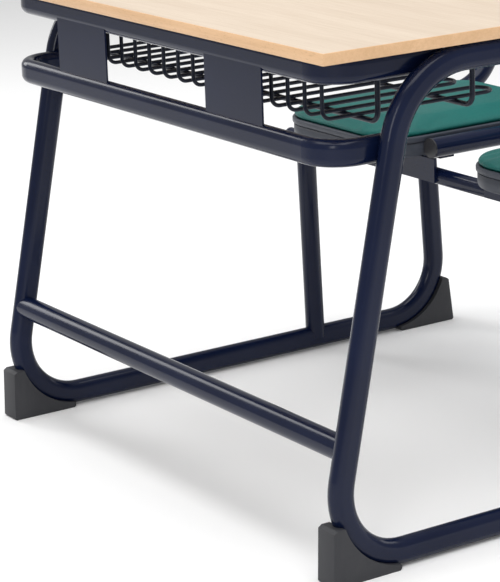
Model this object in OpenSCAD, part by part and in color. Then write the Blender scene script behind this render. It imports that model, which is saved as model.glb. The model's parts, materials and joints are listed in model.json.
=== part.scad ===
// Two-seat school desk with attached padded seats, welded steel tube frame.
// X runs along the desk, -Y is the front panel side, +Y the pupils' side, Z is up from the floor.

/* [Desk top] */
// Height of the writing surface above the floor
top_h = 765; // [700:1:820]
// Length of the desk top
top_l = 980; // [940:1:1040]
// Depth of the desk top
top_d = 450; // [420:1:480]
// Thickness of the board
top_t = 17; // [16:1:22]
// Thickness of the edge banding
band_t = 2; // [1:0.5:3]

/* [Side frames] */
// Distance between the two side frame centre planes
frame_w = 950; // [920:1:980]
// Tube size in the plane of the frame
tube_a = 40; // [36:1:44]
// Tube size across the frame
tube_b = 28; // [26:1:32]
// Wall thickness of the tubes
wall = 2; // [1.5:0.25:3]
// Backward lean of the front legs from vertical, in degrees
leg_lean = 12; // [8:0.5:14]
// Rearward lean of the rear legs towards the floor, in degrees
rear_lean = 3.5; // [2:0.5:5]
// Centreline radius of the bottom bends
foot_bend_r = 105; // [105:1:105]
// Centreline radius of the top bends
top_bend_r = 130; // [110:1:140]

/* [Hoops and stretcher] */
// Height of the front hoop centre above the floor
hoop_z = 613; // [595:1:630]
// Height of the hoop tubes
hoop_a = 40; // [36:1:44]
// Depth of the hoop tubes
hoop_b = 25; // [22:1:28]
// Height of the stretcher centre above the floor
stretcher_z = 194; // [170:1:260]
// Diameter of the stretcher tube
stretcher_d = 38; // [32:1:40]
// Width of each front panel plate
panel_w = 150; // [120:1:180]

/* [Seats] */
// Distance between the two seat centres
seat_pitch = 519; // [500:1:530]
// Width of a seat pan
pan_w = 326; // [300:1:330]
// Depth of a seat pan, front to back
pan_d = 410; // [390:1:420]
// Height of the top rim of the pan above the floor
pan_top = 469; // [462:1:480]
// Height of the pan wall
pan_h = 36; // [32:1:38]
// Height of the crowned seat pad
pad_h = 24; // [18:1:30]
// Diameter of the seat rails
rail_d = 34; // [30:1:34]

/* [Shelf] */
// Number of wire hairpins
hairpins = 9; // [9:1:9]
// Distance between neighbouring wires
wire_pitch = 42.5; // [40:0.5:43.5]
// Wire diameter
wire_d = 6; // [5:0.5:6]
// Height of the wire centre line above the floor
shelf_z = 643; // [635:1:655]

/* [Hidden] */

$fn = 48;

frame_x = frame_w / 2;
board_z = top_h - top_t;
run_z = board_z - tube_a / 2;
floor_gap = 2;
base_z = floor_gap + tube_a / 2;

// Axis of the front leg, as y at a height
function leg_y(z) = -349.6 + z * tan(leg_lean);
// Axis of the rear leg
rear_top_y = 558;
function rear_y(z) = rear_top_y + (beam_z - z) * tan(rear_lean);
// Lean of the strut under the front seat beam
strut_lean = 1.5;
front_beam_y = 286;

beam_z = 400;
beam_d = 28;
beam_over = 45;
rail_z = pan_top - pan_h + rail_d / 2;
rail_x = pan_w / 2 + rail_d / 2 + 0.5;
rail_front_y = 272;
rail_bend_r = 90;
rail_bend_y = 604;
post_len = 270;
// Backward lean of the backrest posts; its sine and cosine end after five digits
post_lean = asin(0.07584);
seat_x = seat_pitch / 2;
pan_y = 186;
pan_r = 80;

// Both hoops lie against the inner faces of the side frames
hoop_x = frame_x - tube_b / 2 - hoop_b / 2;
hoop_y = -306;
hoop_r = 50;
top_hoop_y = -300;
top_hoop_z = board_z - hoop_a / 2;
top_hoop_end = -115;
rear_rail_y = 84;
rear_rail_d = 28;

panel_t = 3;
panel_x = 219;
panel_y = -312;

board_y = -341;
strut_d = 35;
rod_d = 8;
wire_y = -255;
rod_top_y = wire_y + (wire_d + rod_d) / 2;
rod_top_z = board_z - 16;
rod_turn_x = 399;
shelf_back_y = 36;

navy = [0.10, 0.14, 0.22];
grey = [0.22, 0.23, 0.27];
teal = [0.02, 0.44, 0.42];

// ---------- shared shapes ----------

// A flat-sided oval: a along x, b along y
module oval(a, b) {
    if (a > b) {
        square([a - b, b], center = true);
        for (s = [-1, 1]) translate([s * (a - b) / 2, 0]) circle(d = b);
    } else {
        circle(d = a);
    }
}

// The wall of an oval tube
module oval_wall(a, b) {
    difference() {
        oval(a, b);
        oval(a - 2 * wall, b - 2 * wall);
    }
}

// The frame at the end of a bend of radius r through the angle v, turned about the bend's centre
module turned(r, v) {
    translate([r, 0, 0]) rotate([0, v, 0]) translate([-r, 0, 0]) children();
}

// Sweeps its 2D child along +Z and through bends towards +X.
// Each step is [radius, angle] for a bend or [0, length] for a straight run.
// A bend is swept a little too far, then trimmed where the next run starts.
module tube_path(steps, i = 0) {
    if (i < len(steps)) {
        r = steps[i][0];
        v = steps[i][1];
        if (r == 0) {
            linear_extrude(v) children();
            translate([0, 0, v]) tube_path(steps, i + 1) children();
        } else {
            difference() {
                translate([r, 0, 0]) rotate([90, 0, 180])
                    rotate_extrude(angle = v + 5, $fn = 96) translate([r, 0]) children();
                turned(r, v) translate([-r / 2, -50, 0]) cube([r, 100, r / 2]);
            }
            turned(r, v) tube_path(steps, i + 1) children();
        }
    }
}

// A rounded rectangle with its low corner at the origin
module round_rect(w, d, r) {
    translate([r, 0]) square([w - 2 * r, d]);
    translate([0, r]) square([w, d - 2 * r]);
    for (x = [r, w - r], y = [r, d - r]) translate([x, y]) circle(r);
}

// Copies its children onto both ends of the desk
module both_ends() {
    children();
    mirror([1, 0, 0]) children();
}

// A round bar or tube along X
module bar_x(len, d) {
    rotate([0, 90, 0]) cylinder(d = d, h = len, center = true);
}

module tube_x(len, d) {
    difference() {
        bar_x(len, d);
        bar_x(len + 2, d - 2 * wall);
    }
}

// ---------- side frames ----------

rear_turn = 90 + rear_lean;
front_turn = 90 + leg_lean;
top_turn = 90 - leg_lean;
rear_tan = foot_bend_r * tan(rear_turn / 2);
front_tan = foot_bend_r * tan(front_turn / 2);
top_tan = top_bend_r * tan(top_turn / 2);
run_end_y = 96;

frame_steps = [
    [0, (beam_z - base_z) / cos(rear_lean) - rear_tan],
    [foot_bend_r, rear_turn],
    [0, rear_y(base_z) - leg_y(base_z) - rear_tan - front_tan],
    [foot_bend_r, front_turn],
    [0, (run_z - base_z) / cos(leg_lean) - front_tan - top_tan],
    [top_bend_r, top_turn],
    [0, run_end_y - leg_y(run_z) - top_tan]
];

// Bent from one length: rear leg, floor run, front leg and the run under the top
module frame_sweep() {
    translate([frame_x, rear_top_y, beam_z])
        rotate([180 + rear_lean, 0, 0]) rotate([0, 0, 90])
            tube_path(frame_steps) children();
}

module side_frame() {
    color(navy) difference() {
        frame_solid();
        frame_sweep() oval(tube_a - 2 * wall, tube_b - 2 * wall);
        translate([0, rear_top_y, beam_z]) bar_x(3 * frame_w, beam_d);
    }
}

// Solid outline of the side frame
module frame_solid() {
    frame_sweep() oval(tube_a, tube_b);
}

// The straight part of the front leg as a solid, for coping the tubes that meet it
module leg_solid() {
    low = stretcher_z - stretcher_d;
    translate([frame_x, leg_y(low), low]) rotate([-leg_lean, 0, 0]) rotate([0, 0, 90])
        linear_extrude((run_z - low) / cos(leg_lean) - top_tan + 20) oval(tube_a, tube_b);
}

module frame_end_plugs() {
    color(grey) both_ends() translate([frame_x, run_end_y, run_z]) rotate([-90, 0, 0]) rotate(90) {
        linear_extrude(3) oval(tube_a, tube_b);
        translate([0, 0, -14]) linear_extrude(14) oval(tube_a - 2 * wall, tube_b - 2 * wall);
    }
}

// ---------- under the top ----------

module upright_oval() {
    rotate(90) oval(hoop_a, hoop_b);
}

// A tube bent into a U that is open towards the pupils, with straight sides up to end_y
module hoop(y, z, end_y) {
    side = end_y - y - hoop_r;
    difference() {
        hoop_sweep(y, z, side) upright_oval();
        hoop_sweep(y, z, side) rotate(90) oval(hoop_a - 2 * wall, hoop_b - 2 * wall);
    }
}

module hoop_sweep(y, z, side) {
    translate([-hoop_x, y + hoop_r + side, z]) rotate([90, 0, 0])
        tube_path([[0, side], [hoop_r, 90], [0, 2 * (hoop_x - hoop_r)], [hoop_r, 90], [0, side]])
            children();
}

// The straight front of a hoop as a solid, for coping what is welded to it
module hoop_front(y, z) {
    translate([-hoop_x + hoop_r, y, z]) rotate([0, 90, 0])
        linear_extrude(2 * (hoop_x - hoop_r)) oval(hoop_a, hoop_b);
}

module top_hoop() {
    color(navy) hoop(top_hoop_y, top_hoop_z, top_hoop_end);
}

module front_hoop() {
    color(navy) hoop(hoop_y, hoop_z, leg_y(hoop_z) + 6);
}

// Straight tube under the rear of the board
module top_rail_rear() {
    color(navy) translate([0, rear_rail_y, board_z - rear_rail_d / 2])
        tube_x(frame_w - tube_b, rear_rail_d);
}

module front_panel(x) {
    low = hoop_z + hoop_a / 2 - 10;
    high = top_hoop_z - hoop_a / 2 + 10;
    color(navy) difference() {
        translate([x - panel_w / 2, panel_y, low]) cube([panel_w, panel_t, high - low]);
        hoop_front(hoop_y, hoop_z);
        hoop_front(top_hoop_y, top_hoop_z);
    }
}

// Lugs welded to the top hoop and the rear rail take the screws that hold the board
lug_hole = 21;
lug_len = 32;
lug_places = concat([for (x = [-360, 0, 360]) [x, top_hoop_y + 2, 1]],
                    [for (x = [-360, 0, 360]) [x, rear_rail_y - 2, -1]]);

module lug_plan() {
    difference() {
        translate([-12, 0]) square([24, lug_len]);
        translate([0, lug_hole]) circle(d = 5.4);
    }
}

module top_lugs() {
    color(navy) difference() {
        for (p = lug_places)
            translate([p[0], p[1], board_z - 3]) linear_extrude(3)
                mirror([0, p[2] < 0 ? 1 : 0]) lug_plan();
        hoop_front(top_hoop_y, top_hoop_z);
        translate([0, rear_rail_y, board_z - rear_rail_d / 2]) bar_x(frame_w, rear_rail_d);
    }
}

module top_screws() {
    color("silver") for (p = lug_places)
        translate([p[0], p[1] + p[2] * lug_hole, board_z - 3]) {
            translate([0, 0, -3]) cylinder(d = 10, h = 3);
            cylinder(d = 5, h = 16);
        }
}

module board_outline(grow) {
    translate([-top_l / 2 - grow, board_y - grow])
        square([top_l + 2 * grow, top_d + 2 * grow]);
}

module table_top() {
    color([0.86, 0.79, 0.70]) difference() {
        translate([0, 0, board_z]) linear_extrude(top_t) board_outline(-band_t);
        for (p = lug_places)
            translate([p[0], p[1] + p[2] * lug_hole, board_z - 1]) cylinder(d = 5, h = 14);
    }
}

module table_edge_band() {
    color([0.81, 0.65, 0.47]) translate([0, 0, board_z]) linear_extrude(top_t) difference() {
        board_outline(0);
        board_outline(-band_t);
    }
}

// ---------- lower frame ----------

module stretcher() {
    color(navy) difference() {
        translate([0, leg_y(stretcher_z), stretcher_z]) tube_x(frame_w, stretcher_d);
        both_ends() leg_solid();
    }
}

module strut() {
    color(navy) difference() {
        translate([frame_x, front_beam_y, beam_z]) rotate([180 + strut_lean, 0, 0])
            linear_extrude((beam_z - base_z) / cos(strut_lean)) oval_wall(strut_d, strut_d);
        translate([0, front_beam_y, beam_z]) bar_x(3 * frame_w, beam_d);
        frame_solid();
    }
}

beam_len = frame_w + 2 * beam_over;

module seat_beam(y) {
    color(navy) translate([0, y, beam_z]) tube_x(beam_len, beam_d);
}

module beam_end_caps() {
    color(grey) both_ends() for (y = [front_beam_y, rear_top_y])
        translate([beam_len / 2, y, beam_z]) rotate([0, 90, 0]) {
            cylinder(d = beam_d, h = 3);
            translate([0, 0, -12]) cylinder(d = beam_d - 2 * wall, h = 12);
        }
}

// ---------- seat supports ----------

rail_steps = [
    [0, rail_bend_y - rail_front_y],
    [rail_bend_r, 90 - post_lean],
    [0, post_len]
];

module rail_sweep() {
    translate([0, rail_front_y, rail_z]) rotate([-90, 0, 0]) rotate([0, 0, -90])
        tube_path(rail_steps) children();
}

// Moves its children to the frame of the post, with +Z up along it and the origin where it starts
module at_post(along) {
    turn = 90 - post_lean;
    translate([0, rail_bend_y + rail_bend_r * sin(turn), rail_z + rail_bend_r * (1 - cos(turn))])
        rotate([-post_lean, 0, 0]) translate([0, 0, along]) children();
}

module seat_rail(x) {
    color(navy) translate([x, 0, 0]) difference() {
        rail_sweep() circle(d = rail_d);
        rail_sweep() circle(d = rail_d - 2 * wall);
    }
}

rail_xs = [-seat_x - rail_x, -seat_x + rail_x, seat_x - rail_x, seat_x + rail_x];

module rail_front_plugs() {
    color(grey) for (x = rail_xs) translate([x, rail_front_y, rail_z]) rotate([90, 0, 0]) {
        cylinder(d = rail_d, h = 3);
        translate([0, 0, -14]) cylinder(d = rail_d - 2 * wall, h = 14);
    }
}

module post_top_plugs() {
    color(grey) for (x = rail_xs) translate([x, 0, 0]) at_post(post_len) {
        cylinder(d = rail_d, h = 3);
        translate([0, 0, -14]) cylinder(d = rail_d - 2 * wall, h = 14);
    }
}

// Saddles carry the rails on the rear beam
module saddle_brackets() {
    color(navy) difference() {
        for (x = rail_xs) translate([x - 12, rear_top_y - 20, beam_z]) cube([24, 40, rail_z - beam_z]);
        for (x = rail_xs) translate([x, 0, 0]) rail_sweep() oval(rail_d, rail_d);
        translate([0, rear_top_y, beam_z]) bar_x(2 * frame_w, beam_d);
        for (s = [-1, 1]) translate([0, rear_top_y + s * (beam_d / 2 + 10), beam_z])
            cube([2 * frame_w, 20, 8], center = true);
    }
}

// An upright plate on the front beam carries the front of each seat
plate_t = 5;
plate_w = 385;

module seat_front_plates() {
    low = beam_z - 8;
    color(navy) difference() {
        for (s = [-1, 1])
            translate([s * seat_x - plate_w / 2, front_beam_y - beam_d / 2 - plate_t + 1, low])
                cube([plate_w, plate_t, rail_z - rail_d / 2 - low]);
        translate([0, front_beam_y, beam_z]) bar_x(2 * frame_w, beam_d);
    }
}

strap_ys = [305, 500];
strap_t = 4;
rail_low = rail_z - rail_d / 2;
screw_xs = [-110, 110];

module seat_straps() {
    color(navy) for (s = [-1, 1], y = strap_ys)
        translate([s * seat_x, y, rail_low - strap_t]) linear_extrude(strap_t) difference() {
            square([2 * rail_x, 30], center = true);
            for (x = screw_xs) translate([x, 0]) circle(d = 6.4);
        }
}

module seat_screws() {
    color("silver") for (s = [-1, 1], y = strap_ys, x = screw_xs)
        translate([s * seat_x + x, y, rail_low - strap_t]) {
            translate([0, 0, -3.5]) cylinder(d = 11, h = 3.5);
            cylinder(d = 6, h = 14);
        }
}

// ---------- seats and backs ----------

module pan_plan(inset) {
    translate([-pan_w / 2 + inset, pan_y + inset])
        round_rect(pan_w - 2 * inset, pan_d - 2 * inset, pan_r - inset);
}

// A shallow moulded tray: wall, rim lip, recessed waist and a floor with screw holes
module seat_pan(x) {
    low = pan_top - pan_h;
    color(grey) translate([x, 0, 0]) difference() {
        union() {
            translate([0, 0, low]) linear_extrude(pan_h - 10) pan_plan(2);
            translate([0, 0, pan_top - 12]) linear_extrude(2) pan_plan(4);
            translate([0, 0, pan_top - 10]) linear_extrude(10) pan_plan(0);
        }
        translate([0, 0, low + 6]) linear_extrude(pan_h) pan_plan(7);
        for (y = strap_ys, sx = screw_xs) translate([sx, y, low - 1]) cylinder(d = 6, h = 12);
    }
}

// The padded board that drops into the tray
module seat_pad(x) {
    low = pan_top - pan_h + 12;
    color(teal) translate([x, 0, 0]) {
        translate([0, 0, low]) linear_extrude(pan_top - low + 0.3) pan_plan(8);
        translate([0, 0, pan_top + 0.3]) linear_extrude(pad_h * 0.55) pan_plan(1);
        translate([0, 0, pan_top + 0.3 + pad_h * 0.55]) linear_extrude(pad_h * 0.45) pan_plan(10);
    }
}

back_w = pan_w;
back_h = 170;
back_t = 22;
back_low = 85;
back_r = 45;

module back_plan(inset) {
    translate([-back_w / 2 + inset, back_low + inset])
        round_rect(back_w - 2 * inset, back_h - 2 * inset, back_r - inset);
}

// Draws its 2D child on the plane of the posts, with thickness towards the pupil
module on_back(x, from, to) {
    translate([x, 0, 0]) at_post(0) rotate([90, 0, 0])
        translate([0, 0, from]) linear_extrude(to - from) children();
}

module back_shell(x) {
    color(grey) difference() {
        on_back(x, -12, 10) back_plan(0);
        on_back(x, 4, 12) back_plan(6);
        for (s = [-1, 1], h = [130, 210]) translate([x, 0, 0]) at_post(h)
            translate([s * back_w / 2, 0, 0]) bar_x(24, 6);
    }
}

module back_pad(x) {
    color(teal) {
        on_back(x, 4.3, 10.3) back_plan(7);
        on_back(x, 10.3, 22) back_plan(1);
        on_back(x, 22, 32) back_plan(10);
    }
}

module back_bolts() {
    head_x = rail_x + rail_d / 2;
    color("silver") for (sx = [-seat_x, seat_x], s = [-1, 1], h = [130, 210])
        translate([sx, 0, 0]) at_post(h) translate([s * head_x, 0, 0])
            rotate([0, s * 90, 0]) cylinder(d1 = 12, d2 = 9, h = 4);
}

// ---------- feet ----------

front_bend_c = [leg_y(base_z) + front_tan, base_z + foot_bend_r];
rear_bend_c = [rear_y(base_z) - rear_tan, base_z + foot_bend_r];
foot_w = tube_b + 12;
shoe_h = 86;
front_toe = front_bend_c[0] - foot_bend_r - tube_a / 2 - 9.5;
front_heel = front_toe + 120;
rear_toe = rear_bend_c[0] + foot_bend_r + tube_a / 2 + 11.5;
rear_heel = rear_toe - 126;
shoe_inner_r = foot_bend_r + tube_a / 2 - 6;

// Side view of a shoe: toe to the left, its face leaning back by slope, with the bend centre given
module shoe_side(toe, heel, slope, c) {
    difference() {
        polygon([[toe + 3, 0], [toe, 3], [toe + slope, shoe_h - 4], [toe + slope + 6, shoe_h],
                 [toe + 60, shoe_h], [heel, 14], [heel, 3], [heel - 3, 0]]);
        translate(c) circle(shoe_inner_r, $fn = 96);
    }
}

module shoe(toe, heel, slope, c) {
    translate([frame_x, 0, 0]) rotate([90, 0, 90])
        linear_extrude(foot_w, center = true) shoe_side(toe, heel, slope, c);
}

module front_foot() {
    color([0.20, 0.20, 0.22]) difference() {
        shoe(front_toe, front_heel, 3, front_bend_c);
        frame_solid();
    }
}

module rear_foot() {
    color([0.20, 0.20, 0.22]) difference() {
        mirror([0, 1, 0]) shoe(-rear_toe, -rear_heel, 10, [-rear_bend_c[0], rear_bend_c[1]]);
        frame_solid();
    }
}

// ---------- shelf ----------

hairpin_x0 = -(2 * hairpins - 1) * wire_pitch / 2;
wire_top_z = board_z - 8;
wire_bend = 14;
wire_black = [0.08, 0.09, 0.14];

// One side of a hairpin: down from the top rod, round the corner and back along +Y
module hairpin_leg(x) {
    translate([x, wire_y, wire_top_z]) rotate([180, 0, 0]) rotate([0, 0, -90])
        tube_path([[0, wire_top_z - shelf_z - wire_bend], [wire_bend, 90],
                   [0, shelf_back_y - wire_y - wire_bend]])
            circle(d = wire_d);
}

module shelf_hairpin(i) {
    x = hairpin_x0 + (2 * i - 2) * wire_pitch;
    color(wire_black) {
        hairpin_leg(x);
        hairpin_leg(x + wire_pitch);
        translate([x + wire_pitch / 2, shelf_back_y, shelf_z])
            rotate_extrude(angle = 180) translate([wire_pitch / 2, 0]) circle(d = wire_d);
    }
}

// A straight rod between the sides of the top hoop holds the tops of the wires
module shelf_rod_top() {
    color(wire_black) translate([0, rod_top_y, rod_top_z]) bar_x(2 * hoop_x - hoop_b, rod_d);
}

// Cradle rods run under the wires and turn up to the board
module shelf_rod(y) {
    z = shelf_z - (wire_d + rod_d) / 2;
    r = 16;
    up = board_z - z - r;
    color(wire_black) translate([-rod_turn_x, y, board_z]) rotate([180, 0, 0])
        tube_path([[0, up], [r, 90], [0, 2 * (rod_turn_x - r)], [r, 90], [0, up]])
            circle(d = rod_d);
}

// ---------- output ----------

// The origin is on the floor under the middle of the whole unit
post_top_y = rail_bend_y + rail_bend_r * cos(post_lean)
    + (post_len + 3) * sin(post_lean) + rail_d / 2 * cos(post_lean);
middle_y = (front_toe + post_top_y) / 2;

module placed() {
    translate([0, -middle_y, 0]) children();
}

placed() table_top();
placed() table_edge_band();
placed() top_hoop();
placed() top_rail_rear();
placed() top_lugs();
placed() top_screws();
placed() front_hoop();
placed() front_panel(-panel_x);  // front_panel_left
placed() front_panel(panel_x);  // front_panel_right
placed() mirror([1, 0, 0]) side_frame();  // side_frame_left
placed() side_frame();  // side_frame_right
placed() frame_end_plugs();
placed() stretcher();
placed() mirror([1, 0, 0]) strut();  // strut_left
placed() strut();  // strut_right
placed() seat_beam(front_beam_y);  // seat_beam_front
placed() seat_beam(rear_top_y);  // seat_beam_rear
placed() beam_end_caps();
placed() saddle_brackets();
placed() seat_front_plates();
placed() seat_rail(rail_xs[0]);  // seat_rail_left_outer
placed() seat_rail(rail_xs[1]);  // seat_rail_left_inner
placed() seat_rail(rail_xs[2]);  // seat_rail_right_inner
placed() seat_rail(rail_xs[3]);  // seat_rail_right_outer
placed() rail_front_plugs();
placed() post_top_plugs();
placed() seat_straps();
placed() seat_screws();
placed() seat_pan(-seat_x);  // seat_pan_left
placed() seat_pan(seat_x);  // seat_pan_right
placed() seat_pad(-seat_x);  // seat_pad_left
placed() seat_pad(seat_x);  // seat_pad_right
placed() back_shell(-seat_x);  // back_shell_left
placed() back_shell(seat_x);  // back_shell_right
placed() back_pad(-seat_x);  // back_pad_left
placed() back_pad(seat_x);  // back_pad_right
placed() back_bolts();
placed() mirror([1, 0, 0]) front_foot();  // front_foot_left
placed() front_foot();  // front_foot_right
placed() mirror([1, 0, 0]) rear_foot();  // rear_foot_left
placed() rear_foot();  // rear_foot_right
placed() shelf_rod_top();
placed() shelf_rod(-186);  // shelf_rod_front
placed() shelf_rod(-17);  // shelf_rod_rear
for (i = [1 : hairpins])
    placed() shelf_hairpin(i);
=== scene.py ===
# Two-seat school desk: looks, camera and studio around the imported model.
# Metres throughout; X along the desk, -Y the front panel side, Z up from the floor.
import json
import math

import bpy
from mathutils import Matrix, Vector


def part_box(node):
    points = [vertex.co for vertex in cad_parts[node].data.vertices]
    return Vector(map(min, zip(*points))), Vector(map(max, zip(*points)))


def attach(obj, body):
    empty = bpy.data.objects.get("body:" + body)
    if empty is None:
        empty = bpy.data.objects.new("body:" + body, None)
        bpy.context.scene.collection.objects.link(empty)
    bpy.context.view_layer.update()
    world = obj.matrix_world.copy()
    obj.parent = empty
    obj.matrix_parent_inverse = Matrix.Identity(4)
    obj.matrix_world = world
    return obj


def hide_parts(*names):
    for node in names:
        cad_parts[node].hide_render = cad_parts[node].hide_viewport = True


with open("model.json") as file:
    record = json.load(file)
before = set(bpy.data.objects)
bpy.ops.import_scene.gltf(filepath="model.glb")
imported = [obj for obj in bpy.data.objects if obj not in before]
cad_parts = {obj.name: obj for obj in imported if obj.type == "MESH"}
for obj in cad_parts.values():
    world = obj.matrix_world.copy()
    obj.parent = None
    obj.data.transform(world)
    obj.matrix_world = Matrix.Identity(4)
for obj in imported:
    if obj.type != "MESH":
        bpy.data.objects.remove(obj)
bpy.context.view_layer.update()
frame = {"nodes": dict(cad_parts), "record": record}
nodes = frame["nodes"]

SIDES = ("left", "right")

# ---------- places taken from the frame ----------

pan_low, pan_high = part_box("seat_pan_right")
pad_low, pad_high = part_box("seat_pad_right")
rail_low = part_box("seat_rail_right_outer")[0]
beam_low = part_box("seat_beam_front")[0]

SEAT_X = (pan_low.x + pan_high.x) / 2
SEAT_Y = (pan_low.y + pan_high.y) / 2
PAN_W = pan_high.x - pan_low.x
PAN_D = pan_high.y - pan_low.y
PAN_TOP = pan_high.z
POST_SIN, POST_COS = 0.07584, 0.99712  # backward lean of the backrest posts
RAIL_RUN, RAIL_BEND, RAIL_RADIUS = 0.332, 0.090, 0.017
RAIL_Z = rail_low.z + RAIL_RADIUS
POST_Y = rail_low.y + RAIL_RUN + RAIL_BEND * POST_COS
POST_Z = RAIL_Z + RAIL_BEND * (1 - POST_SIN)
POST_TURN = math.atan2(POST_COS, POST_SIN)

PAN_CORNER, PAN_CORNER_SEGMENTS = 0.080, 14
SEAT_CORNER, CUSHION_SEGMENTS = 0.078, 12
BACK_W, BACK_H, BACK_THICK = PAN_W, 0.170, 0.022
BACK_CORNER, BACK_CORNER_SEGMENTS = 0.045, 12
BACK_PAD_CORNER, BACK_PAD_SEGMENTS = 0.043, 10
BACK_START = 0.085  # along the posts, where the lower edge of the shell is
BACK_BEHIND = 0.012  # how far the shell reaches behind the posts' axis
BACK_PAD_SEAT = 0.0043  # from the posts' axis to the face the pad lies on

# ---------- camera ----------


VIEW_AZIMUTH, VIEW_ELEVATION, VIEW_ROLL = 57.13, 15.82, -2.08
VIEW_LENS, VIEW_SENSOR = 151.15, 36
VIEW_PLACE = Vector((3.13044, beam_low.y - 2.44799, 1.35187))


def make_camera():
    azimuth, elevation = math.radians(VIEW_AZIMUTH), math.radians(VIEW_ELEVATION)
    roll = math.radians(VIEW_ROLL)
    back = Vector((math.sin(azimuth) * math.cos(elevation),
                   -math.cos(azimuth) * math.cos(elevation),
                   math.sin(elevation)))
    across = Vector((math.cos(azimuth), math.sin(azimuth), 0))
    upward = back.cross(across)
    right = across * math.cos(roll) + upward * math.sin(roll)
    top = upward * math.cos(roll) - across * math.sin(roll)
    data = bpy.data.cameras.new("studio_camera")
    data.lens = VIEW_LENS
    data.sensor_width = VIEW_SENSOR
    data.clip_start, data.clip_end = 0.1, 60
    camera = bpy.data.objects.new("studio_camera", data)
    bpy.context.scene.collection.objects.link(camera)
    camera.matrix_world = Matrix((
        (right.x, top.x, back.x, VIEW_PLACE.x),
        (right.y, top.y, back.y, VIEW_PLACE.y),
        (right.z, top.z, back.z, VIEW_PLACE.z),
        (0, 0, 0, 1)))
    bpy.context.scene.camera = camera


make_camera()

# ---------- modelling helpers ----------


def deselect():
    if bpy.context.mode != "OBJECT":
        bpy.ops.object.mode_set(mode="OBJECT")
    bpy.ops.object.select_all(action="DESELECT")


def pick(piece):
    deselect()
    piece.select_set(True)
    bpy.context.view_layer.objects.active = piece


def settle(piece):
    """Puts the piece's place into its mesh."""
    pick(piece)
    bpy.ops.object.transform_apply(location=True, rotation=True, scale=True)


def edit_all(mode="FACE"):
    """Goes into edit mode with everything selected."""
    bpy.ops.object.mode_set(mode="EDIT")
    bpy.ops.mesh.select_mode(type=mode)
    bpy.ops.mesh.select_all(action="SELECT")


def object_mode():
    bpy.ops.object.mode_set(mode="OBJECT")


def add_modifier(piece, kind, **values):
    modifier = piece.modifiers.new(kind.lower(), kind)
    for name, value in values.items():
        setattr(modifier, name, value)
    pick(piece)
    bpy.ops.object.modifier_apply(modifier=modifier.name)


def smooth(piece, degrees=35):
    pick(piece)
    bpy.ops.object.shade_smooth_by_angle(angle=math.radians(degrees))


def finish_piece(piece, material, stands_for=()):
    piece.data.materials.clear()
    piece.data.materials.append(material)
    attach(piece, "root")
    if stands_for:
        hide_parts(*stands_for)
    return piece


def copy_piece(piece, name, matrix):
    """A second, unfinished piece of the same shape, with its own mesh, placed by the matrix."""
    twin = piece.copy()
    twin.data = piece.data.copy()
    twin.name = twin.data.name = name
    bpy.context.scene.collection.objects.link(twin)
    twin.data.transform(matrix)
    return twin


def rounded_plate(name, width, depth, radius, segments, place):
    """A flat face with round corners, centred on its place."""
    deselect()
    bpy.ops.mesh.primitive_plane_add(size=1, location=place)
    piece = bpy.context.object
    piece.name = piece.data.name = name
    piece.scale = (width, depth, 1)
    settle(piece)
    edit_all("VERT")
    bpy.ops.mesh.bevel(offset=radius, offset_type="OFFSET", segments=segments,
                       profile=0.5, affect="VERTICES")
    object_mode()
    return piece


def raise_levels(piece, width, depth, levels):
    """Draws the plate's face up through (height, inset) levels, then closes it."""
    pick(piece)
    edit_all()
    height, inset = levels[0]
    centre = sum((Vector(c) for c in piece.bound_box), Vector()) / 8
    bpy.ops.transform.resize(
        value=((width - 2 * inset) / width, (depth - 2 * inset) / depth, 1),
        center_override=centre)
    bpy.ops.transform.translate(value=(0, 0, height))
    for next_height, next_inset in levels[1:]:
        bpy.ops.mesh.extrude_region_move(
            TRANSFORM_OT_translate={"value": (0, 0, next_height - height)})
        bpy.ops.transform.resize(
            value=((width - 2 * next_inset) / (width - 2 * inset),
                   (depth - 2 * next_inset) / (depth - 2 * inset), 1),
            center_override=(centre.x, centre.y, centre.z + next_height))
        height, inset = next_height, next_inset
    bpy.ops.mesh.select_all(action="SELECT")
    bpy.ops.mesh.normals_make_consistent(inside=False)
    object_mode()


# ---------- shader groups ----------


class Group:
    """A node group being built, with its named inputs and outputs."""

    def __init__(self, name, inputs, outputs):
        self.tree = bpy.data.node_groups.new(name, "ShaderNodeTree")
        for label, kind, value in inputs:
            socket = self.tree.interface.new_socket(label, in_out="INPUT", socket_type=kind)
            if value is not None:
                socket.default_value = value
        for label, kind in outputs:
            self.tree.interface.new_socket(label, in_out="OUTPUT", socket_type=kind)
        self.source = self.tree.nodes.new("NodeGroupInput")
        self.target = self.tree.nodes.new("NodeGroupOutput")


def wire(tree, start, end):
    tree.links.new(end, start)


def stretched(tree, coordinates, scale):
    mapping = tree.nodes.new("ShaderNodeMapping")
    mapping.inputs["Scale"].default_value = scale
    wire(tree, coordinates, mapping.inputs["Vector"])
    return mapping.outputs["Vector"]


def noise_of(tree, coordinates, scale, detail=3.0, rough=0.5, distortion=0.0):
    node = tree.nodes.new("ShaderNodeTexNoise")
    node.inputs["Detail"].default_value = detail
    node.inputs["Roughness"].default_value = rough
    node.inputs["Distortion"].default_value = distortion
    if isinstance(scale, (int, float)):
        node.inputs["Scale"].default_value = scale
    else:
        wire(tree, scale, node.inputs["Scale"])
    wire(tree, coordinates, node.inputs["Vector"])
    return node.outputs["Fac"]


def calculate(tree, operation, first, second=None, third=None):
    node = tree.nodes.new("ShaderNodeMath")
    node.operation = operation
    for socket, value in zip(node.inputs, (first, second, third)):
        if value is None:
            continue
        if isinstance(value, (int, float)):
            socket.default_value = value
        else:
            wire(tree, value, socket)
    return node.outputs[0]


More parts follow.
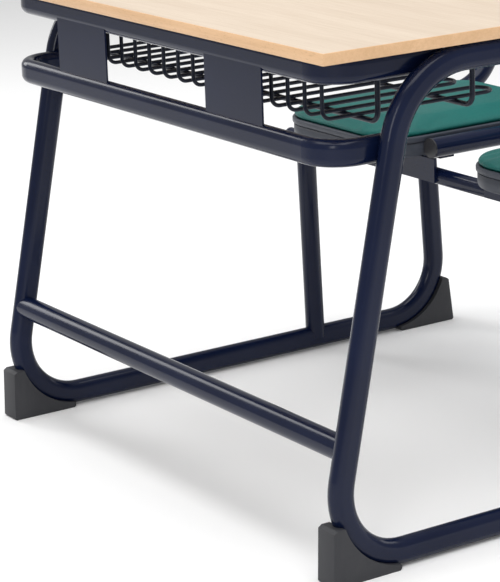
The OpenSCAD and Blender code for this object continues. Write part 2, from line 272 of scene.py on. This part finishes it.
def spread(tree, value, low, high, to_low, to_high):
    node = tree.nodes.new("ShaderNodeMapRange")
    for socket, number in zip(node.inputs[1:5], (low, high, to_low, to_high)):
        if isinstance(number, (int, float)):
            socket.default_value = number
        else:
            wire(tree, number, socket)
    wire(tree, value, node.inputs[0])
    return node.outputs[0]


def blend_colours(tree, share, first, second):
    node = tree.nodes.new("ShaderNodeMix")
    node.data_type = "RGBA"
    for socket, value in ((node.inputs[0], share), (node.inputs[6], first), (node.inputs[7], second)):
        if isinstance(value, (int, float, tuple)):
            socket.default_value = value
        else:
            wire(tree, value, socket)
    return node.outputs[2]


def powder_coat_group():
    """Fine orange peel and a slow drift of tone, as on stoved powder paint."""
    group = Group(
        "powder_coat",
        [("Coordinates", "NodeSocketVector", None),
         ("Paint", "NodeSocketColor", (0.01, 0.02, 0.05, 1)),
         ("Thin Paint", "NodeSocketColor", (0.02, 0.03, 0.07, 1)),
         ("Peel Scale", "NodeSocketFloat", 420.0),
         ("Gloss", "NodeSocketFloat", 0.22)],
        [("Color", "NodeSocketColor"), ("Roughness", "NodeSocketFloat"),
         ("Height", "NodeSocketFloat")])
    tree, inputs, outputs = group.tree, group.source.outputs, group.target.inputs
    peel = noise_of(tree, inputs["Coordinates"], inputs["Peel Scale"], 1.0, 0.4)
    fine = noise_of(tree, inputs["Coordinates"], 2600.0, 1.0)
    drift = noise_of(tree, inputs["Coordinates"], 7.0, 3.0)
    specks = noise_of(tree, inputs["Coordinates"], 900.0, 0.0)
    share = spread(tree, drift, 0.35, 0.65, 0.0, 0.55)
    share = calculate(tree, "ADD", share, spread(tree, specks, 0.68, 0.8, 0.0, 0.25))
    wire(tree, blend_colours(tree, share, inputs["Paint"], inputs["Thin Paint"]), outputs["Color"])
    rough = calculate(tree, "ADD", inputs["Gloss"], spread(tree, drift, 0.3, 0.7, -0.03, 0.05))
    wire(tree, calculate(tree, "ADD", rough, spread(tree, fine, 0.3, 0.7, -0.02, 0.03)),
         outputs["Roughness"])
    wire(tree, calculate(tree, "ADD", peel, calculate(tree, "MULTIPLY", fine, 0.12)),
         outputs["Height"])
    return group.tree


def moulded_group():
    """Spark-eroded grain, faint flow marks and dust of moulded plastic."""
    group = Group(
        "moulded_grain",
        [("Coordinates", "NodeSocketVector", None),
         ("Plastic", "NodeSocketColor", (0.04, 0.04, 0.05, 1)),
         ("Dust", "NodeSocketColor", (0.12, 0.12, 0.13, 1)),
         ("Grain Scale", "NodeSocketFloat", 1500.0),
         ("Gloss", "NodeSocketFloat", 0.5)],
        [("Color", "NodeSocketColor"), ("Roughness", "NodeSocketFloat"),
         ("Height", "NodeSocketFloat")])
    tree, inputs, outputs = group.tree, group.source.outputs, group.target.inputs
    grain = noise_of(tree, inputs["Coordinates"], inputs["Grain Scale"], 2.0, 0.6)
    flow = noise_of(tree, stretched(tree, inputs["Coordinates"], (1, 1, 0.3)), 24.0, 4.0, 0.6, 0.8)
    share = spread(tree, flow, 0.45, 0.75, 0.0, 0.4)
    share = calculate(tree, "ADD", share, spread(tree, grain, 0.5, 0.8, 0.0, 0.25))
    wire(tree, blend_colours(tree, share, inputs["Plastic"], inputs["Dust"]), outputs["Color"])
    wire(tree, calculate(tree, "ADD", inputs["Gloss"], spread(tree, flow, 0.3, 0.7, -0.05, 0.08)),
         outputs["Roughness"])
    wire(tree, grain, outputs["Height"])
    return group.tree


def beech_group():
    """Printed beech: slow bands, fine grain lines and short darker flecks along the grain."""
    group = Group(
        "beech_figure",
        [("Coordinates", "NodeSocketVector", None),
         ("Pale", "NodeSocketColor", (0.72, 0.6, 0.45, 1)),
         ("Deep", "NodeSocketColor", (0.62, 0.48, 0.33, 1)),
         ("Fleck", "NodeSocketColor", (0.42, 0.28, 0.16, 1)),
         ("Fleck Share", "NodeSocketFloat", 0.35),
         ("Gloss", "NodeSocketFloat", 0.4)],
        [("Color", "NodeSocketColor"), ("Roughness", "NodeSocketFloat"),
         ("Height", "NodeSocketFloat")])
    tree, inputs, outputs = group.tree, group.source.outputs, group.target.inputs
    place = inputs["Coordinates"]
    bands = noise_of(tree, stretched(tree, place, (1.0, 9.0, 9.0)), 3.0, 3.0, 0.55, 0.4)
    lines = noise_of(tree, stretched(tree, place, (1.0, 30.0, 30.0)), 9.0, 4.0, 0.65)
    flecks = noise_of(tree, stretched(tree, place, (1.0, 9.0, 9.0)), 120.0, 1.0, 0.5)
    tone = calculate(tree, "ADD", calculate(tree, "MULTIPLY", bands, 0.55),
                     calculate(tree, "MULTIPLY", lines, 0.45))
    body = blend_colours(tree, spread(tree, tone, 0.38, 0.62, 0.0, 1.0),
                         inputs["Pale"], inputs["Deep"])
    dashes = calculate(tree, "MULTIPLY", spread(tree, flecks, 0.62, 0.7, 0.0, 1.0),
                       inputs["Fleck Share"])
    wire(tree, blend_colours(tree, dashes, body, inputs["Fleck"]), outputs["Color"])
    wire(tree, calculate(tree, "ADD", inputs["Gloss"], spread(tree, lines, 0.3, 0.7, -0.04, 0.06)),
         outputs["Roughness"])
    wire(tree, calculate(tree, "SUBTRACT", lines, calculate(tree, "MULTIPLY", dashes, 0.8)),
         outputs["Height"])
    return group.tree


POWDER_COAT = powder_coat_group()
MOULDED = moulded_group()
BEECH = beech_group()

# ---------- materials ----------


def start_material(name):
    material = bpy.data.materials.new(name)
    material.use_nodes = True
    tree = material.node_tree
    shader = next(n for n in tree.nodes if n.type == "BSDF_PRINCIPLED")
    place = tree.nodes.new("ShaderNodeTexCoord").outputs["Object"]
    return material, tree, shader, place


def relief(tree, shader, height, depth, softness=1.0):
    bump = tree.nodes.new("ShaderNodeBump")
    bump.inputs["Distance"].default_value = depth
    bump.inputs["Strength"].default_value = softness
    wire(tree, height, bump.inputs["Height"])
    wire(tree, bump.outputs["Normal"], shader.inputs["Normal"])


def grouped_material(name, group, depth, values, shader_values=(), turn=None):
    material, tree, shader, place = start_material(name)
    node = tree.nodes.new("ShaderNodeGroup")
    node.node_tree = group
    if turn:
        mapping = tree.nodes.new("ShaderNodeMapping")
        mapping.inputs["Rotation"].default_value = turn
        wire(tree, place, mapping.inputs["Vector"])
        place = mapping.outputs["Vector"]
    wire(tree, place, node.inputs["Coordinates"])
    for label, value in values.items():
        node.inputs[label].default_value = value
    wire(tree, node.outputs["Color"], shader.inputs["Base Color"])
    wire(tree, node.outputs["Roughness"], shader.inputs["Roughness"])
    relief(tree, shader, node.outputs["Height"], depth)
    for label, value in dict(shader_values).items():
        shader.inputs[label].default_value = value
    return material


navy_paint = grouped_material(
    "navy_paint", POWDER_COAT, 0.00005,
    {"Paint": (0.0030, 0.0065, 0.0260, 1), "Thin Paint": (0.0050, 0.0100, 0.0370, 1),
     "Peel Scale": 420.0, "Gloss": 0.16},
    {"Specular IOR Level": 0.22, "Coat Weight": 0.06, "Coat Roughness": 0.06})
shelf_paint = grouped_material(
    "shelf_paint", POWDER_COAT, 0.00003,
    {"Paint": (0.0065, 0.009, 0.02, 1), "Thin Paint": (0.011, 0.015, 0.03, 1),
     "Peel Scale": 700.0, "Gloss": 0.28},
    {"Specular IOR Level": 0.22})
foot_plastic = grouped_material(
    "foot_plastic", MOULDED, 0.00012,
    {"Plastic": (0.032, 0.033, 0.038, 1), "Dust": (0.060, 0.060, 0.065, 1),
     "Grain Scale": 900.0, "Gloss": 0.55},
    {"Specular IOR Level": 0.35})
grey_plastic = grouped_material(
    "grey_plastic", MOULDED, 0.00008,
    {"Plastic": (0.045, 0.052, 0.07, 1), "Dust": (0.08, 0.088, 0.11, 1),
     "Grain Scale": 1400.0, "Gloss": 0.42},
    {"Specular IOR Level": 0.35})
black_plastic = grouped_material(
    "black_plastic", MOULDED, 0.00006,
    {"Plastic": (0.02, 0.02, 0.024, 1), "Dust": (0.05, 0.05, 0.055, 1),
     "Grain Scale": 1800.0, "Gloss": 0.4})
laminate = grouped_material(
    "laminate", BEECH, 0.00002,
    {"Pale": (0.63, 0.525, 0.415, 1), "Deep": (0.56, 0.455, 0.35, 1),
     "Fleck": (0.42, 0.30, 0.20, 1), "Fleck Share": 0.25, "Gloss": 0.4})
beech_edge = grouped_material(
    "beech_edge", BEECH, 0.00004,
    {"Pale": (0.76, 0.49, 0.28, 1), "Deep": (0.66, 0.41, 0.22, 1),
     "Fleck": (0.40, 0.23, 0.11, 1), "Fleck Share": 0.35, "Gloss": 0.38})


def make_vinyl():
    """Upholstery vinyl: pebbled leather grain with painted shade darkening its crevices, soft sheen,
    slow drift of tone.
    """
    material, tree, shader, place = start_material("teal_vinyl")
    warped = tree.nodes.new("ShaderNodeMix")
    warped.data_type = "VECTOR"
    warped.inputs[0].default_value = 0.0015
    wander = tree.nodes.new("ShaderNodeTexNoise")
    wander.inputs["Scale"].default_value = 320
    wire(tree, place, wander.inputs["Vector"])
    wire(tree, place, warped.inputs[4])
    wire(tree, wander.outputs["Color"], warped.inputs[5])
    cells = tree.nodes.new("ShaderNodeTexVoronoi")
    cells.feature = "DISTANCE_TO_EDGE"
    cells.inputs["Scale"].default_value = 620
    wire(tree, warped.outputs[1], cells.inputs["Vector"])
    pebbles = spread(tree, cells.outputs["Distance"], 0.0, 0.28, 0.0, 1.0)
    fine = noise_of(tree, place, 2400.0, 2.0)
    drift = noise_of(tree, place, 9.0, 3.0)
    # painted shade: the grain's crevices, the low cell edges of the bump, are blended up to 0.45
    # toward the darker teal below
    share = calculate(tree, "MULTIPLY", spread(tree, pebbles, 0.0, 1.0, 1.0, 0.0), 0.45)
    base = blend_colours(tree, spread(tree, drift, 0.3, 0.7, 0.0, 1.0),
                         (0.0005, 0.122, 0.110, 1), (0.0015, 0.150, 0.132, 1))
    wire(tree, blend_colours(tree, share, base, (0.0003, 0.070, 0.063, 1)),
         shader.inputs["Base Color"])
    rough = calculate(tree, "ADD", spread(tree, drift, 0.3, 0.7, 0.40, 0.50),
                      spread(tree, pebbles, 0.0, 1.0, 0.10, 0.0))
    wire(tree, rough, shader.inputs["Roughness"])
    relief(tree, shader, calculate(tree, "ADD", pebbles, calculate(tree, "MULTIPLY", fine, 0.25)),
           0.00012)
    shader.inputs["Specular IOR Level"].default_value = 0.35
    return material


def make_zinc():
    """Bright zinc plate, with fine brushing and a faint bloom."""
    material, tree, shader, place = start_material("zinc_steel")
    brushed = noise_of(tree, stretched(tree, place, (1, 1, 14)), 1400.0, 2.0)
    bloom = noise_of(tree, place, 160.0, 3.0)
    wire(tree, blend_colours(tree, spread(tree, bloom, 0.35, 0.65, 0.0, 1.0),
                             (0.60, 0.61, 0.63, 1), (0.44, 0.45, 0.46, 1)),
         shader.inputs["Base Color"])
    wire(tree, spread(tree, bloom, 0.3, 0.7, 0.28, 0.45), shader.inputs["Roughness"])
    relief(tree, shader, brushed, 0.00003)
    shader.inputs["Metallic"].default_value = 1.0
    return material


teal_vinyl = make_vinyl()
zinc_steel = make_zinc()

FINISHES = {
    "laminate": laminate, "beech_edge": beech_edge, "navy_paint": navy_paint,
    "shelf_paint": shelf_paint, "zinc_steel": zinc_steel, "black_plastic": black_plastic,
    "foot_plastic": foot_plastic, "grey_plastic": grey_plastic, "teal_vinyl": teal_vinyl,
}
for part in frame["record"]["subparts"]:
    surface = nodes[part["node"]]
    surface.data.materials.clear()
    surface.data.materials.append(FINISHES[part["material_slot"]])

# ---------- rounded mouldings made from the plain solids ----------


MERGE_WITHIN = 0.00002


def softened(node, name, width, segments, material):
    """The same solid with its sharp edges rounded."""
    piece = nodes[node].copy()
    piece.data = nodes[node].data.copy()
    for key in list(piece.keys()):
        del piece[key]
    piece.parent = None
    piece.name = piece.data.name = name
    bpy.context.scene.collection.objects.link(piece)
    pick(piece)
    edit_all("VERT")
    bpy.ops.mesh.remove_doubles(threshold=MERGE_WITHIN)
    bpy.ops.mesh.dissolve_limited(angle_limit=math.radians(1.0))
    object_mode()
    if piece.data.has_custom_normals:
        bpy.ops.mesh.customdata_custom_splitnormals_clear()
    add_modifier(piece, "BEVEL", width=width, segments=segments, limit_method="ANGLE",
                 angle_limit=math.radians(30), harden_normals=False)
    smooth(piece, 40)
    return finish_piece(piece, material, (node,))


SHOE_ROUNDING, BAND_ROUNDING = 0.0045, 0.0006
for end in ("front", "rear"):
    for side in SIDES:
        softened(f"{end}_foot_{side}", f"{end}_shoe_{side}", SHOE_ROUNDING, 4,
                 foot_plastic)
softened("table_edge_band", "eased_edge_band", BAND_ROUNDING, 2, beech_edge)


def make_pan():
    """A moulded tray: turned-in foot, recessed waist line and a rounded rim."""
    low = pan_low.z
    top = PAN_TOP - low
    piece = rounded_plate("seat_tray_right", PAN_W, PAN_D, PAN_CORNER, PAN_CORNER_SEGMENTS,
                          (SEAT_X, SEAT_Y, low))
    raise_levels(piece, PAN_W, PAN_D, [
        (0.0, 0.008), (0.0007, 0.0055), (0.0022, 0.0035), (0.005, 0.0025), (0.009, 0.002),
        (top - 0.0125, 0.002), (top - 0.012, 0.0025), (top - 0.0118, 0.0038),
        (top - 0.0102, 0.0038), (top - 0.010, 0.0022), (top - 0.0096, 0.0008),
        (top - 0.0085, 0.0), (top - 0.0022, 0.0), (top - 0.0008, 0.0005), (top, 0.0018),
        (top, 0.0052), (top - 0.0006, 0.0066), (top - 0.002, 0.007), (0.006, 0.0075)])
    smooth(piece, 50)
    return piece


def make_back_shell(name):
    """The backrest shell, with a rolled rim and a rounded rear."""
    thick = BACK_THICK
    piece = rounded_plate(name, BACK_W, BACK_H, BACK_CORNER, BACK_CORNER_SEGMENTS, (0, 0, 0))
    raise_levels(piece, BACK_W, BACK_H, [
        (0.0, 0.016), (0.0006, 0.010), (0.0024, 0.0055), (0.006, 0.002), (0.010, 0.0004),
        (thick - 0.0085, 0.0), (thick - 0.0025, 0.0), (thick - 0.0008, 0.0006), (thick, 0.002),
        (thick, 0.0045), (thick - 0.0006, 0.0057), (thick - 0.0022, 0.0062),
        (thick - 0.0058, 0.0064)])
    smooth(piece, 50)
    return piece


def on_posts(x):
    """Takes a back part drawn flat to its place on the posts of the seat at x."""
    return (Matrix.Translation((x, POST_Y, POST_Z)) @ Matrix.Rotation(POST_TURN, 4, "X")
            @ Matrix.Translation((0, BACK_START + BACK_H / 2, 0)))


TO_LEFT_SEAT = Matrix.Translation((-2 * SEAT_X, 0, 0))
tray = make_pan()
tray_left = copy_piece(tray, "seat_tray_left", TO_LEFT_SEAT)
finish_piece(tray, grey_plastic, ("seat_pan_right",))
finish_piece(tray_left, grey_plastic, ("seat_pan_left",))

shell = make_back_shell("back_moulding_right")
shell.data.transform(Matrix.Translation((0, 0, -BACK_BEHIND)))
shell_left = copy_piece(shell, "back_moulding_left", on_posts(-SEAT_X))
shell.data.transform(on_posts(SEAT_X))
finish_piece(shell, grey_plastic, ("back_shell_right",))
finish_piece(shell_left, grey_plastic, ("back_shell_left",))

# ---------- cushions ----------


VOXEL = 0.0045
PRESSURE = 3.0
SWELL_FRAMES = 20


def swell(piece, held_below, cap):
    """Swells the closed form by cloth pressure, with everything below a height held still.

    No point moves further than the cap.
    """
    pick(piece)
    piece.data.remesh_voxel_size = VOXEL
    bpy.ops.object.voxel_remesh()
    start = [v.co.copy() for v in piece.data.vertices]
    held = piece.vertex_groups.new(name="held")
    held.add([v.index for v in piece.data.vertices if v.co.z < held_below], 1.0, "REPLACE")
    cloth = piece.modifiers.new("cloth", "CLOTH")
    cloth.settings.quality = 6
    cloth.settings.mass = 0.3
    cloth.settings.tension_stiffness = 25
    cloth.settings.compression_stiffness = 25
    cloth.settings.shear_stiffness = 12
    cloth.settings.bending_stiffness = 1.5
    cloth.settings.use_pressure = True
    cloth.settings.uniform_pressure_force = PRESSURE
    cloth.settings.effector_weights.gravity = 0
    cloth.settings.vertex_group_mass = "held"
    cloth.point_cache.frame_start, cloth.point_cache.frame_end = 1, SWELL_FRAMES
    scene = bpy.context.scene
    for step in range(1, SWELL_FRAMES + 1):
        scene.frame_set(step)
    bpy.ops.object.modifier_apply(modifier=cloth.name)
    scene.frame_set(1)
    piece.vertex_groups.clear()
    for vertex, before in zip(piece.data.vertices, start):
        shift = vertex.co - before
        if shift.length > cap:
            vertex.co = before + shift * (cap / shift.length)
    add_modifier(piece, "SMOOTH", factor=0.5, iterations=6)
    add_modifier(piece, "SUBSURF", levels=1, render_levels=1)


def keep_inside(piece, low, high):
    """Holds every point of the piece between two corners."""
    for vertex in piece.data.vertices:
        for axis in range(3):
            vertex.co[axis] = min(max(vertex.co[axis], low[axis]), high[axis])


def make_seat_cushion():
    """A vinyl-covered pad that drops into the tray and rolls over its rim."""
    tuck = PAN_TOP - 0.012
    rise = 0.012
    slack = 0.0005
    piece = rounded_plate("seat_cushion_right", PAN_W, PAN_D, SEAT_CORNER, CUSHION_SEGMENTS,
                          (SEAT_X, SEAT_Y, tuck))
    raise_levels(piece, PAN_W, PAN_D, [
        (0.0, 0.011), (rise + 0.0004, 0.011), (rise + 0.0012, 0.0045),
        (rise + 0.0050, 0.0022), (rise + 0.0090, 0.0028), (rise + 0.0125, 0.0060),
        (rise + 0.0150, 0.0115), (rise + 0.0172, 0.024), (rise + 0.0190, 0.048),
        (rise + 0.0202, 0.085), (rise + 0.0206, 0.120)])
    swell(piece, PAN_TOP + 0.0025, 0.007)
    keep_inside(piece, (pad_low.x - slack, pad_low.y - slack, tuck),
                (pad_high.x + slack, pad_high.y + slack, pad_high.z + 0.002))
    smooth(piece, 60)
    return piece


def make_back_cushion():
    """The backrest's pad, drawn flat: a crowned form that rolls over the shell's rim."""
    gap, crown = 0.0008, 0.0278
    piece = rounded_plate("back_cushion_right", BACK_W, BACK_H, BACK_PAD_CORNER, BACK_PAD_SEGMENTS,
                          (0, 0, 0))
    raise_levels(piece, BACK_W, BACK_H, [
        (0.0, 0.0095), (0.0060, 0.0095), (0.0068, 0.0035), (0.0110, 0.0025),
        (0.0150, 0.0045), (0.0180, 0.0095), (0.0200, 0.020), (0.0215, 0.040),
        (0.0222, 0.060)])
    swell(piece, 0.0085, 0.006)
    keep_inside(piece, (-BACK_W / 2 + gap, -BACK_H / 2 + gap, 0.0),
                (BACK_W / 2 - gap, BACK_H / 2 - gap, crown))
    smooth(piece, 60)
    return piece


seat_cushion = make_seat_cushion()
seat_cushion_left = copy_piece(seat_cushion, "seat_cushion_left", TO_LEFT_SEAT)
finish_piece(seat_cushion, teal_vinyl, ("seat_pad_right",))
finish_piece(seat_cushion_left, teal_vinyl, ("seat_pad_left",))
back_cushion = make_back_cushion()
back_cushion.data.transform(Matrix.Translation((0, 0, BACK_PAD_SEAT)))
back_cushion_left = copy_piece(back_cushion, "back_cushion_left", on_posts(-SEAT_X))
back_cushion.data.transform(on_posts(SEAT_X))
finish_piece(back_cushion, teal_vinyl, ("back_pad_right",))
finish_piece(back_cushion_left, teal_vinyl, ("back_pad_left",))

# ---------- studio ----------


FLOOR_SIZE = 24
WORLD_STRENGTH = 0.50


def make_floor():
    deselect()
    bpy.ops.mesh.primitive_plane_add(size=FLOOR_SIZE, location=(0, 0, 0))
    floor = bpy.context.object
    floor.name = floor.data.name = "studio_floor"
    material, tree, shader, place = start_material("studio_floor")
    soft = noise_of(tree, place, 1.5, 2.0)
    wire(tree, blend_colours(tree, soft, (0.955, 0.955, 0.955, 1), (0.97, 0.97, 0.97, 1)),
         shader.inputs["Base Color"])
    shader.inputs["Roughness"].default_value = 0.9
    floor.data.materials.append(material)


def make_light(name, place, aim, size, power):
    data = bpy.data.lights.new(name, "AREA")
    data.shape = "RECTANGLE"
    data.size, data.size_y = size
    data.energy = power
    light = bpy.data.objects.new(name, data)
    bpy.context.scene.collection.objects.link(light)
    light.location = place
    light.rotation_mode = "QUATERNION"
    light.rotation_quaternion = (Vector(aim) - Vector(place)).to_track_quat("-Z", "Y")


def make_studio():
    make_floor()
    world = bpy.data.worlds.new("studio_air")
    world.use_nodes = True
    sky = next(n for n in world.node_tree.nodes if n.type == "BACKGROUND")
    sky.inputs["Color"].default_value = (1.0, 1.0, 1.0, 1)
    sky.inputs["Strength"].default_value = WORLD_STRENGTH
    bpy.context.scene.world = world
    bpy.context.scene.view_settings.view_transform = "Standard"
    make_light("overhead_softbox", (0.4, -0.6, 4.2), (0.0, 0.0, 0.3), (4.4, 4.4), 175)
    make_light("near_strip", (3.2, -3.6, 2.2), (0.0, 0.0, 0.5), (1.0, 2.4), 34)
    make_light("far_strip", (-3.4, -1.2, 2.2), (0.0, 0.0, 0.4), (1.0, 2.4), 34)
    make_light("rear_softbox", (0.8, 3.6, 2.4), (0.0, 0.0, 0.4), (2.4, 1.8), 34)


make_studio()
